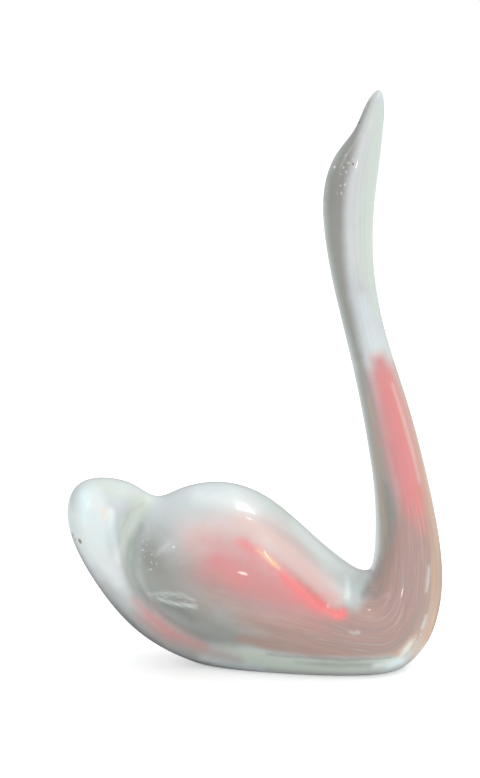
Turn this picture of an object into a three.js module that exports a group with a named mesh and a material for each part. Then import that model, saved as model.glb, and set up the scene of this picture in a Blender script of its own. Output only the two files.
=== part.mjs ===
// A ceramic swan figure, cast and glazed in one piece, standing on its flat sole.
// Millimetres, Z up. The bird looks along +X; its flanks face -Y and +Y. The sole lies on Z = 0.
//
// The skin is one loft. Each station joins a point of the back to a point of the belly, from the
// tail tip over the body and up the neck to the bill tip. Smooth curves run through the stations,
// and every section between them is an oval whose half width is widened by the wing, narrowed by
// the hollow behind the wing, and set in above the fold that runs down to the wing tip.

import * as THREE from "three";
import { LoftGeometry } from "three/addons/geometries/LoftGeometry.js";

// Overall size.
const HEIGHT = 200;
const LENGTH = 131;
const WIDTH = 62.5;

// Fineness of the faceted skin.
const SECTIONS = 96;
const AROUND = 50;

// How far the skin stops short of either tip, as a share of the way from one station to the next.
const TIP_CUT = 0.03;

// The figure is drawn in hundredths of its height and scaled to the overall size at the end.
// back and belly are [forward, up] in the middle plane; half is the oval's half width there.
const TAIL_TIP = [-31.5, 31.6];
const BILL_TIP = [21.1, 100.3];
const STATIONS = [
  { at: "tail end", back: [-28.2, 33.1], belly: [-32.8, 27.0], half: 4.8 },
  { at: "tail fan", back: [-24.6, 33.0], belly: [-31.3, 21.4], half: 7.5 },
  { at: "tail root", back: [-20.7, 32.1], belly: [-28.3, 15.8], half: 8.2 },
  { at: "notch behind the back", back: [-16.8, 28.9], belly: [-24.4, 10.0], half: 7.5 },
  { at: "rise of the back", back: [-13.2, 31.2], belly: [-19.4, 4.8], half: 7.0 },
  { at: "top of the back", back: [-8.2, 32.4], belly: [-12.4, 1.0], half: 7.8 },
  { at: "behind the middle", back: [-2.8, 32.1], belly: [-4.5, -1.4], half: 10.0 },
  { at: "middle", back: [2.7, 29.6], belly: [3.7, -2.4], half: 12.0 },
  { at: "slope of the back", back: [8.0, 25.0], belly: [11.6, -2.7], half: 13.0 },
  { at: "low back", back: [13.0, 20.2], belly: [18.4, -2.4], half: 13.0 },
  { at: "saddle", back: [19.8, 15.1], belly: [25.3, -1.0], half: 12.0 },
  { at: "chest", back: [20.8, 18.1], belly: [30.9, 4.2], half: 10.0 },
  { at: "breast", back: [21.0, 24.7], belly: [33.0, 13.3], half: 7.8 },
  { at: "foot of the neck", back: [20.7, 31.5], belly: [32.1, 23.0], half: 6.0 },
  { at: "low neck", back: [19.5, 39.0], belly: [29.3, 35.6], half: 4.8 },
  { at: "neck below the middle", back: [17.9, 47.6], belly: [26.1, 47.0], half: 3.9 },
  { at: "neck above the middle", back: [15.8, 56.5], belly: [22.5, 56.8], half: 3.5 },
  { at: "high neck", back: [13.4, 65.7], belly: [20.3, 66.4], half: 3.3 },
  { at: "throat", back: [11.7, 74.6], belly: [19.8, 75.0], half: 3.5 },
  { at: "crown", back: [11.2, 82.2], belly: [20.3, 81.9], half: 3.8 },
  { at: "brow", back: [13.2, 88.6], belly: [21.0, 87.4], half: 3.3 },
  { at: "root of the bill", back: [17.0, 92.2], belly: [21.5, 92.9], half: 2.4 },
  { at: "bill", back: [18.4, 97.0], belly: [21.8, 96.6], half: 1.5 },
];

// The folded wing: an egg in side view, tilted nose down, steep at the rear and soft at the front.
// The front begins frontStart along the wing and has taken over frontSpan further on.
const WING = {
  centre: [0, 15.5],
  tilt: THREE.MathUtils.degToRad(36),
  rear: 22.75,
  front: 29,
  below: 14.25,
  above: 22,
  corner: 3,
  half: 15.5,
  steepness: 2.9,
  frontSteepness: 2,
  rearBlend: 1.5,
  frontBlend: 5,
  frontStart: -6,
  frontSpan: 15,
};

// The hollow in the tail just behind the wing's upper edge.
const HOLLOW = { depth: 0.26, at: 1.04, spread: 0.1, bottom: 17, span: 7 };

// The fold from the wing tip, beside the foot of the neck, up and back over the wing. lineTilt and
// neckTilt turn distances up from its line, and back from the neck, into distances square to them.
const FOLD = {
  tip: [15.4, 11.7],
  rise: 0.95,
  level: 2.65,
  round: 2,
  lineTilt: 0.72,
  neckLean: 0.85,
  neckReach: 4.7,
  neckRound: 1,
  neckTilt: 0.76,
  corner: 0.75,
  lip: 0.4,
  depth: 2.25,
  edge: 2.2,
  reach: 13,
  start: -4,
  span: 16,
};

// The belly is pressed flat where it meets the table, with this much softness at the rim.
const SOLE_ROUND = 0.75;

/** A smooth step from 0 to 1 as t runs from 0 to 1. */
function ease(t) {
  const u = THREE.MathUtils.clamp(t, 0, 1);
  return u * u * (3 - 2 * u);
}

/** The larger of a and b, rounded over where they cross. */
function softMax(a, b, blend) {
  const h = THREE.MathUtils.clamp(0.5 + (0.5 * (a - b)) / blend, 0, 1);
  return b + (a - b) * h + blend * h * (1 - h);
}

/** The smaller of a and b, rounded over where they cross. */
function softMin(a, b, blend) {
  return -softMax(-a, -b, blend);
}

/** The value at u of the smooth curve drawn by the list; its first and last entries lie past the ends. */
function curveAt(list, u) {
  const i = Math.min(Math.floor(u), list.length - 4);
  const t = u - i;
  const s = 1 - t;
  const weights = [s ** 3, 3 * t ** 3 - 6 * t ** 2 + 4, 3 * s ** 3 - 6 * s ** 2 + 4, t ** 3];
  return weights.reduce((sum, weight, k) => sum + (weight * list[i + k]) / 6, 0);
}

/** One coordinate along the back, or along the belly, carried round both tips to the other side. */
function profile(side, other, axis) {
  const last = STATIONS.length - 1;
  return [
    STATIONS[0][other][axis],
    TAIL_TIP[axis],
    ...STATIONS.map((station) => station[side][axis]),
    BILL_TIP[axis],
    STATIONS[last][other][axis],
  ];
}

const PROFILES = {
  backX: profile("back", "belly", 0),
  backZ: profile("back", "belly", 1),
  bellyX: profile("belly", "back", 0),
  bellyZ: profile("belly", "back", 1),
  half: [-STATIONS[0].half, 0, ...STATIONS.map((station) => station.half), 0, -STATIONS.at(-1).half],
};

/** The half width at a point of the side view, from the plain oval's half width there. */
function halfWidth(x, z, plain) {
  const forward = x - WING.centre[0];
  const down = WING.centre[1] - z;
  const along = forward * Math.cos(WING.tilt) + down * Math.sin(WING.tilt);
  const across = down * Math.cos(WING.tilt) - forward * Math.sin(WING.tilt);
  const spanAlong = along < 0 ? WING.rear : WING.front;
  const spanAcross = across > 0 ? WING.below : WING.above;
  const rim =
    (Math.abs(along / spanAlong) ** WING.corner + Math.abs(across / spanAcross) ** WING.corner) **
    (1 / WING.corner);
  const frontShare = ease((along - WING.frontStart) / WING.frontSpan);
  const steepness = THREE.MathUtils.lerp(WING.steepness, WING.frontSteepness, frontShare);
  const falloff = THREE.MathUtils.lerp(1 / WING.steepness, 1, frontShare);
  const blend = THREE.MathUtils.lerp(WING.rearBlend, WING.frontBlend, frontShare);
  const wing = WING.half * Math.max(1 - rim ** steepness, 0) ** falloff;
  const hollow = along < 0 ? Math.exp(-(((rim - HOLLOW.at) / HOLLOW.spread) ** 2)) : 0;
  const tail = plain * (1 - HOLLOW.depth * hollow * ease((z - HOLLOW.bottom) / HOLLOW.span));
  return softMax(tail, wing, blend) - foldDepth(x, z);
}

/** How far the flank is set in above the fold, left of the foot of the neck. */
function foldDepth(x, z) {
  const line = FOLD.tip[1] + FOLD.rise * softMax(FOLD.tip[0] - x - FOLD.level, 0, FOLD.round);
  const above = (z - line) * FOLD.lineTilt;
  const neckSlope = FOLD.neckLean * (z - FOLD.tip[1]);
  const neckEdge = FOLD.tip[0] + softMin(neckSlope, FOLD.neckReach, FOLD.neckRound);
  const behindNeck = (neckEdge - x) * FOLD.neckTilt;
  const inside = softMin(above, behindNeck, FOLD.corner);
  const lip = ease((inside + FOLD.lip) / FOLD.edge) * (1 - ease((above - FOLD.edge) / FOLD.reach));
  return FOLD.depth * lip * ease((x - FOLD.start) / FOLD.span);
}

/** Presses what lies below the table flat, easing in over the rim. */
function settle(z) {
  if (Math.abs(z) <= SOLE_ROUND) {
    return (z + SOLE_ROUND) ** 2 / (4 * SOLE_ROUND);
  }
  return Math.max(z, 0);
}

/** The oval section at u, running round from the back over the -Y flank, the belly and the +Y flank. */
function section(u) {
  const back = new THREE.Vector2(curveAt(PROFILES.backX, u), curveAt(PROFILES.backZ, u));
  const belly = new THREE.Vector2(curveAt(PROFILES.bellyX, u), curveAt(PROFILES.bellyZ, u));
  const plain = curveAt(PROFILES.half, u);
  const middle = back.clone().add(belly).multiplyScalar(0.5);
  const arm = back.clone().sub(belly).multiplyScalar(0.5);
  return Array.from({ length: AROUND }, (_, j) => {
    const turn = (2 * Math.PI * j) / AROUND;
    const x = middle.x + arm.x * Math.cos(turn);
    const z = middle.y + arm.y * Math.cos(turn);
    return new THREE.Vector3(x, -halfWidth(x, z, plain) * Math.sin(turn), settle(z));
  });
}

/** The whole skin, with a very small flat end at either tip, scaled to the overall size. */
function swanGeometry() {
  const way = STATIONS.length + 1 - 2 * TIP_CUT;
  const sections = Array.from({ length: SECTIONS }, (_, i) =>
    section(TIP_CUT + (way * i) / (SECTIONS - 1)),
  );
  const geometry = new LoftGeometry(sections, { closed: true, capStart: true, capEnd: true });
  geometry.computeBoundingBox();
  const box = geometry.boundingBox;
  const size = box.getSize(new THREE.Vector3());
  const centre = box.getCenter(new THREE.Vector3());
  geometry.translate(-centre.x, 0, -box.min.z);
  geometry.scale(LENGTH / size.x, WIDTH / size.y, HEIGHT / size.z);
  return geometry;
}

const glaze = new THREE.MeshStandardMaterial({
  name: "pearl glaze",
  color: new THREE.Color(0.8, 0.74, 0.72),
  roughness: 0.18,
  metalness: 0.05,
});

const figure = new THREE.Mesh(swanGeometry(), glaze);
figure.name = "swan_figure";

const part = new THREE.Group();
part.name = "ceramic_swan";
part.add(figure);

export default part;
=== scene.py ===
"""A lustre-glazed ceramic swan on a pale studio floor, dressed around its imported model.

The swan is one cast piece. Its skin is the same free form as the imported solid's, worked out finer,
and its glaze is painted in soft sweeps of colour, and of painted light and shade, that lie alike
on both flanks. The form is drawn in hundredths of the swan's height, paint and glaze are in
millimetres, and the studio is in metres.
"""

import logging
import math
from dataclasses import dataclass, field
from enum import Enum
from typing import Any

import bpy
import numpy as np
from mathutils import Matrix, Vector


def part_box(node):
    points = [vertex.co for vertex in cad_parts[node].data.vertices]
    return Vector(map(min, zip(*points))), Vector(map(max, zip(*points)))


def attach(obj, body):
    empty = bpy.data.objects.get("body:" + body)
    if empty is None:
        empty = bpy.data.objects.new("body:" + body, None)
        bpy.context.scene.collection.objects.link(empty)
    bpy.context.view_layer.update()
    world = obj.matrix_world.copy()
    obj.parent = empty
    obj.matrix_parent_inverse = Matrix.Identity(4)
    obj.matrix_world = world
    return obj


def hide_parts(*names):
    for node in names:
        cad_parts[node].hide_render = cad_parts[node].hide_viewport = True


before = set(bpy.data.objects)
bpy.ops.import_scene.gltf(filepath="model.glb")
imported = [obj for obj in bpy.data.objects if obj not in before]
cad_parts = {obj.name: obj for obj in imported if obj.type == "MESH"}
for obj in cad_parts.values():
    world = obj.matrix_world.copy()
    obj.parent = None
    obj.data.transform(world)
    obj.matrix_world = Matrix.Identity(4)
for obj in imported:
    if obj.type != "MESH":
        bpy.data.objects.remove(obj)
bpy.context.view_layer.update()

LOG = logging.getLogger("swan")
METRES = 0.001
NOISE_MIDDLE = 0.5

# The places of a Mix node's two colours and of its mixed colour.
MIX_FIRST, MIX_SECOND, MIXED = 6, 7, 2

PHOTO_WIDTH = 480
PHOTO_HEIGHT = 778

Array = np.ndarray
Point = tuple[float, float]
Place = tuple[float, float, float]
Scale = tuple[float, float, float]
Colour = tuple[float, float, float]
WHITE: Colour = (1.0, 1.0, 1.0)
BLACK: Colour = (0.0, 0.0, 0.0)


# The swan's free form.


def ease(t: Array) -> Array:
    """A smooth step: 3t² − 2t³ for t held between 0 and 1."""
    held = np.clip(t, 0.0, 1.0)
    return held * held * (3.0 - 2.0 * held)


def soft_max(a: Array, b: Array, blend: float | Array) -> Array:
    """The larger of a and b, with a parabola of width blend where they cross."""
    share = np.clip(0.5 + 0.5 * (a - b) / blend, 0.0, 1.0)
    return b + (a - b) * share + blend * share * (1.0 - share)


def soft_min(a: Array, b: Array, blend: float | Array) -> Array:
    """The smaller of a and b, with a parabola of width blend where they cross."""
    return -soft_max(-a, -b, blend)


def smooth_curve(controls: Array, u: Array) -> Array:
    """The uniform cubic B-spline of the controls at u.

    With s = 1 − t the four weights are s³, 3t³ − 6t² + 4, 3s³ − 6s² + 4 and t³, all over 6.

    Args:
        controls: one number for each control, the first and last lying past the ends.
        u: places along the curve, one whole number apart from control to control.

    Returns:
        The value at each place.
    """
    first = np.minimum(np.floor(u).astype(int), len(controls) - 4)
    t = u - first
    s = 1.0 - t
    weights = (s**3, 3 * t**3 - 6 * t**2 + 4, 3 * s**3 - 6 * s**2 + 4, t**3)
    return sum(w * controls[first + k] for k, w in enumerate(weights)) / 6.0


class Side(Enum):
    """The two edges of the side view that a section joins."""

    BACK = "back"
    BELLY = "belly"


@dataclass(frozen=True)
class Station:
    """One section of the drawing, in hundredths of the height."""

    back: Point
    belly: Point
    half: float

    def edge(self, side: Side) -> Point:
        """The section's point on the back or on the belly."""
        return self.back if side is Side.BACK else self.belly


@dataclass(frozen=True)
class Wing:
    """The folded wing: an egg in side view, tilted nose down, steep behind and soft in front."""

    centre: Point = (0.0, 15.5)
    tilt: float = math.radians(36.0)
    rear: float = 22.75
    front: float = 29.0
    below: float = 14.25
    above: float = 22.0
    corner: float = 3.0
    half: float = 15.5
    steepness: float = 2.9
    front_steepness: float = 2.0
    rear_blend: float = 2.4
    front_blend: float = 5.0
    front_starts: float = -6.0
    front_span: float = 15.0

    def place(self, x: Array, z: Array) -> tuple[Array, Array]:
        """Turns a point of the side view into the wing's own measure.

        The rim ratio is (|along/span|ᶜ + |across/span|ᶜ) to the power 1/c, with c the corner.

        Args:
            x: forward places of the points.
            z: their heights.

        Returns:
            How far each lies along the wing, and its rim ratio, which is 1 on the wing's outline.
        """
        forward, down = x - self.centre[0], self.centre[1] - z
        along = forward * math.cos(self.tilt) + down * math.sin(self.tilt)
        across = down * math.cos(self.tilt) - forward * math.sin(self.tilt)
        span_along = np.where(along < 0, self.rear, self.front)
        span_across = np.where(across > 0, self.below, self.above)
        rim = np.abs(along / span_along) ** self.corner + np.abs(across / span_across) ** self.corner
        return along, rim ** (1.0 / self.corner)

    def bulge(self, along: Array, rim: Array) -> Array:
        """The wing's own half width, half · (1 − rimˢ)ᶠ, and nought outside its outline.

        From rear to front, s goes from steepness to front_steepness and f from 1/steepness to 1.

        Args:
            along: how far each point lies along the wing.
            rim: its rim ratio.

        Returns:
            The half width at each point.
        """
        front = self.front_share(along)
        steepness = self.steepness + (self.front_steepness - self.steepness) * front
        falloff = 1.0 / self.steepness + (1.0 - 1.0 / self.steepness) * front
        return self.half * np.maximum(1.0 - rim**steepness, 0.0) ** falloff

    def blend(self, along: Array) -> Array:
        """How broadly the wing runs out into the body."""
        return self.rear_blend + (self.front_blend - self.rear_blend) * self.front_share(along)

    def front_share(self, along: Array) -> Array:
        """0 at the wing's steep rear, 1 at its soft front."""
        return ease((along - self.front_starts) / self.front_span)


@dataclass(frozen=True)
class Hollow:
    """The hollow in the tail just behind the wing's upper edge."""

    depth: float = 0.26
    at: float = 1.04
    spread: float = 0.1
    bottom: float = 17.0
    span: float = 7.0

    def share(self, along: Array, rim: Array, z: Array) -> Array:
        """What the hollow leaves of the half width: 1 − depth · exp(−((rim − at)/spread)²).

        It is eased in upwards, and counts only behind the wing's middle.

        Args:
            along: how far each point lies along the wing.
            rim: its rim ratio.
            z: its height.

        Returns:
            The share left at each point.
        """
        bell = np.where(along < 0, np.exp(-(((rim - self.at) / self.spread) ** 2)), 0.0)
        return 1.0 - self.depth * bell * ease((z - self.bottom) / self.span)


@dataclass(frozen=True)
class Fold:
    """The fold from the wing tip, beside the foot of the neck, up and back over the wing.

    line_tilt and neck_tilt turn distances up from its line, and back from the neck, into distances
    square to them.
    """

    tip: Point = (15.4, 11.7)
    rise: float = 0.95
    level: float = 2.65
    round: float = 2.0
    neck_lean: float = 0.85
    neck_reach: float = 4.7
    neck_round: float = 1.0
    depth: float = 2.25
    edge: float = 2.2
    reach: float = 13.0
    start: float = -4.0
    span: float = 16.0
    line_tilt: float = 0.72
    neck_tilt: float = 0.76
    lip: float = 0.4
    corner: float = 0.75

    def line(self, x: Array) -> Array:
        """The fold's height over x: level at the tip, then rising backwards."""
        behind = self.tip[0] - x - self.level
        return self.tip[1] + self.rise * soft_max(behind, np.zeros_like(x), self.round)

    def inset(self, x: Array, z: Array) -> Array:
        """How far the flank is set in: a lip that eases in above the line and fades out higher up.

        Args:
            x: forward places of the points.
            z: their heights.

        Returns:
            What the half width loses at each point.
        """
        above = (z - self.line(x)) * self.line_tilt
        reach = np.full_like(x, self.neck_reach)
        neck_edge = self.tip[0] + soft_min(self.neck_lean * (z - self.tip[1]), reach, self.neck_round)
        inside = soft_min(above, (neck_edge - x) * self.neck_tilt, self.corner)
        lip = ease((inside + self.lip) / self.edge) * (1.0 - ease((above - self.edge) / self.reach))
        return self.depth * lip * ease((x - self.start) / self.span)


@dataclass(frozen=True)
class Skin:
    """The grid of the finished surface and what is known at each of its points, in millimetres.

    sweep holds the coordinates that a streak follows, and sunk how far a point of the drawing was
    pressed into the table.
    """

    places: Array
    sweep: Array
    sunk: Array


@dataclass
class SwanForm:
    """The swan's free form, a surface over the way from tail to bill and the turn round it.

    It is drawn in hundredths of the swan's height, and unit is one of them in millimetres. The dish
    is the hollow in the sole. The streaks' coordinates run round a tube of streak_radius millimetres.
    """

    rows: int = 478
    around: int = 208
    wing: Wing = Wing()
    hollow: Hollow = Hollow()
    fold: Fold = Fold()
    tail_tip: Point = (-31.5, 31.6)
    bill_tip: Point = (21.1, 100.3)
    sole_round: float = 0.75
    dish_depth: float = 0.12
    dish_starts: float = 1.0
    dish_span: float = 0.5
    unit: float = 2.0
    streak_radius: float = 12.0
    stations: tuple[Station, ...] = (
        Station((-28.2, 33.1), (-32.8, 27.0), 4.8),
        Station((-24.6, 33.0), (-31.3, 21.4), 7.5),
        Station((-20.7, 32.1), (-28.3, 15.8), 8.2),
        Station((-16.8, 28.9), (-24.4, 10.0), 7.5),
        Station((-13.2, 31.2), (-19.4, 4.8), 7.0),
        Station((-8.2, 32.4), (-12.4, 1.0), 7.8),
        Station((-2.8, 32.1), (-4.5, -1.4), 10.0),
        Station((2.7, 29.6), (3.7, -2.4), 12.0),
        Station((8.0, 25.0), (11.6, -2.7), 13.0),
        Station((13.0, 20.2), (18.4, -2.4), 13.0),
        Station((19.8, 15.1), (25.3, -1.0), 12.0),
        Station((20.8, 18.1), (30.9, 4.2), 10.0),
        Station((21.0, 24.7), (33.0, 13.3), 7.8),
        Station((20.7, 31.5), (32.1, 23.0), 6.0),
        Station((19.5, 39.0), (29.3, 35.6), 4.8),
        Station((17.9, 47.6), (26.1, 47.0), 3.9),
        Station((15.8, 56.5), (22.5, 56.8), 3.5),
        Station((13.4, 65.7), (20.3, 66.4), 3.3),
        Station((11.7, 74.6), (19.8, 75.0), 3.5),
        Station((11.2, 82.2), (20.3, 81.9), 3.8),
        Station((13.2, 88.6), (21.0, 87.4), 3.3),
        Station((17.0, 92.2), (21.5, 92.9), 2.4),
        Station((18.4, 97.0), (21.8, 96.6), 1.5),
    )

    def _edge(self, side: Side, u: Array) -> tuple[Array, Array]:
        """The back or the belly, a B-spline through the side plane that goes on round both tips.

        Args:
            side: the edge to follow.
            u: places along the swan, one whole number apart from station to station.

        Returns:
            The forward places and the heights.
        """
        other = Side.BELLY if side is Side.BACK else Side.BACK
        points = [self.stations[0].edge(other), self.tail_tip]
        points += [station.edge(side) for station in self.stations]
        points += [self.bill_tip, self.stations[-1].edge(other)]
        forward, up = np.array(points).T
        return smooth_curve(forward, u), smooth_curve(up, u)

    def _plain_half(self, u: Array) -> Array:
        """The plain oval's half width, which is nought at both tips."""
        halves = [station.half for station in self.stations]
        return smooth_curve(np.array([-halves[0], 0.0, *halves, 0.0, -halves[-1]]), u)

    def _half_width(self, x: Array, z: Array, plain: Array) -> Array:
        """The larger of the oval, narrowed by the hollow, and the wing, less the fold's inset.

        Args:
            x: forward places of the points.
            z: their heights.
            plain: the plain oval's half width there.

        Returns:
            The half width at each point.
        """
        along, rim = self.wing.place(x, z)
        oval = plain * self.hollow.share(along, rim, z)
        return soft_max(oval, self.wing.bulge(along, rim), self.wing.blend(along)) - self.fold.inset(x, z)

    def _settle(self, z: Array) -> Array:
        """Presses what lies below the table flat, and dishes the middle of the sole a little.

        Within r, the sole's round, of the table a height z becomes (z + r)²/4r, and further down
        nought plus the dish.

        Args:
            z: heights as drawn.

        Returns:
            The heights of the finished surface.
        """
        rim = (z + self.sole_round) ** 2 / (4.0 * self.sole_round)
        flat = np.where(np.abs(z) <= self.sole_round, rim, np.maximum(z, 0.0))
        return flat + self.dish_depth * ease((-z - self.dish_starts) / self.dish_span)

    def _grid(self, u: Array, turn: Array) -> tuple[Array, Array]:
        """The surface at u along the swan and turn round it.

        A point is M + D·cos(turn) in the side plane, with M and D half the sum and half the
        difference of back and belly, and −h·sin(turn) across, with h the half width there.

        Args:
            u: places along the swan, one whole number apart from station to station.
            turn: angles round it from the back over the −Y flank, in radians.

        Returns:
            The grid of places, and the heights as drawn, before they settle.
        """
        back_x, back_z = (coordinate[:, None] for coordinate in self._edge(Side.BACK, u))
        belly_x, belly_z = (coordinate[:, None] for coordinate in self._edge(Side.BELLY, u))
        cosine = np.cos(turn)[None, :]
        x = (back_x + belly_x) / 2 + (back_x - belly_x) / 2 * cosine
        z = (back_z + belly_z) / 2 + (back_z - belly_z) / 2 * cosine
        y = -self._half_width(x, z, self._plain_half(u)[:, None]) * np.sin(turn)[None, :]
        return np.stack((x, y, self._settle(z)), axis=-1), z

    def _way(self, u: Array) -> Array:
        """The way run from the tail: the summed steps of the line midway between back and belly.

        Args:
            u: places along the swan, in rising order.

        Returns:
            The length up to each place, in the drawing's units.
        """
        back, belly = self._edge(Side.BACK, u), self._edge(Side.BELLY, u)
        middle_x, middle_z = ((a + b) / 2 for a, b in zip(back, belly))
        return np.concatenate(([0.0], np.cumsum(np.hypot(np.diff(middle_x), np.diff(middle_z)))))

    def skin(self, low: Vector, high: Vector) -> Skin:
        """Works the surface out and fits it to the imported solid's box.

        Args:
            low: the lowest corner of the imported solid, in metres.
            high: its highest corner.

        Returns:
            The grid, with one row and one column for each place along and round the swan.
        """
        u = np.linspace(0.0, len(self.stations) + 1.0, self.rows + 2)
        turn = np.linspace(0.0, 2.0 * np.pi, self.around, endpoint=False)
        places, raw = self._grid(u, turn)
        flat = places.reshape(-1, 3)
        least, most = flat.min(axis=0), flat.max(axis=0)
        least[2] = 0.0
        low_mm, high_mm = np.array(low) / METRES, np.array(high) / METRES
        places = low_mm + (places - least) * (high_mm - low_mm) / (most - least)
        sweep = np.empty_like(places)
        sweep[..., 0] = self._way(u)[:, None] * self.unit
        sweep[..., 1] = np.cos(turn) * self.streak_radius
        sweep[..., 2] = np.sin(turn) * self.streak_radius
        return Skin(places, sweep, np.maximum(-raw, 0.0) * self.unit)


# Where the glaze is painted and marked.


class Coat(Enum):
    """The colours and marks of the glaze, painted light and shade among them, each kept as one attribute of
    the mesh.
    """

    # Lilac, laid in part as painted shade where the tail turns under.
    LILAC_AND_SHADE = "lilac_and_shade"
    # Pale green: painted reflection along the back, the tail's top edge, the throat and the belly, and
    # painted shade in the hollow behind the wing.
    GREEN_REFLECTION_AND_SHADE = "green_reflection_and_shade"
    # Grey painted shade: the back of the neck, the rear of the wing, the crease of the hollow, the foot of
    # the neck and under the tail.
    SMOKE = "painted_shade"
    UMBER = "umber"
    ROSE = "rose"
    CRIMSON = "crimson"
    # Pale blush above the fold, lighter as a painted sky reflection where the wing faces up.
    BLUSH_AND_REFLECTION = "pale_blush"
    # Honey: a warm tint down the front of the neck and breast, and under the breast a painted gold
    # reflection.
    HONEY_AND_REFLECTION = "honey_and_reflection"
    # Painted amber glints.
    AMBER_GLINT = "amber_glint"
    # Dark painted shade: the underside, the back of the neck and lines along the belly. It also dulls the
    # glaze.
    PAINTED_DARK_SHADE = "painted_dark_shade"
    # Milk white: painted highlights and glints, the tail's face painted lighter where light falls, and the
    # pale crazed smear.
    MILK_AND_HIGHLIGHT = "milk_and_highlight"
    # A painted bluish sky reflection and glints.
    SKY_REFLECTION = "painted_sky_reflection"
    STREAK = "streak"
    BLISTER = "blister"
    CRAZE = "craze"
    DULL = "dulled"
    BARE = "bare"
    SWEEP = "sweep"


@dataclass(frozen=True)
class Stroke:
    """A sweep of the airbrush: a fat line in the side view, soft at its rim, on both flanks."""

    coat: Coat
    path: tuple[Point, ...]
    radius: tuple[float, ...]
    soft: float
    strength: float = 1.0

    def mask(self, x: Array, z: Array) -> Array:
        """How much of the coat the stroke lays at each point.

        For each leg of the path, the distance to the leg less the radius there is eased from 1, half
        a softness inside, to 0, half a softness outside. The most of any leg counts.

        Args:
            x: forward places of the points, in millimetres.
            z: their heights.

        Returns:
            The share laid at each point, up to the stroke's strength.
        """
        found = np.zeros_like(x)
        ends = list(zip(self.path, self.radius))
        for ((ax, az), start_radius), ((bx, bz), end_radius) in zip(ends, ends[1:]):
            dx, dz = bx - ax, bz - az
            t = np.clip(((x - ax) * dx + (z - az) * dz) / (dx * dx + dz * dz), 0.0, 1.0)
            radius = start_radius + (end_radius - start_radius) * t
            distance = np.hypot(x - ax - t * dx, z - az - t * dz) - radius
            found = np.maximum(found, 1.0 - ease(distance / self.soft + 0.5))
        return found * self.strength


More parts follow.
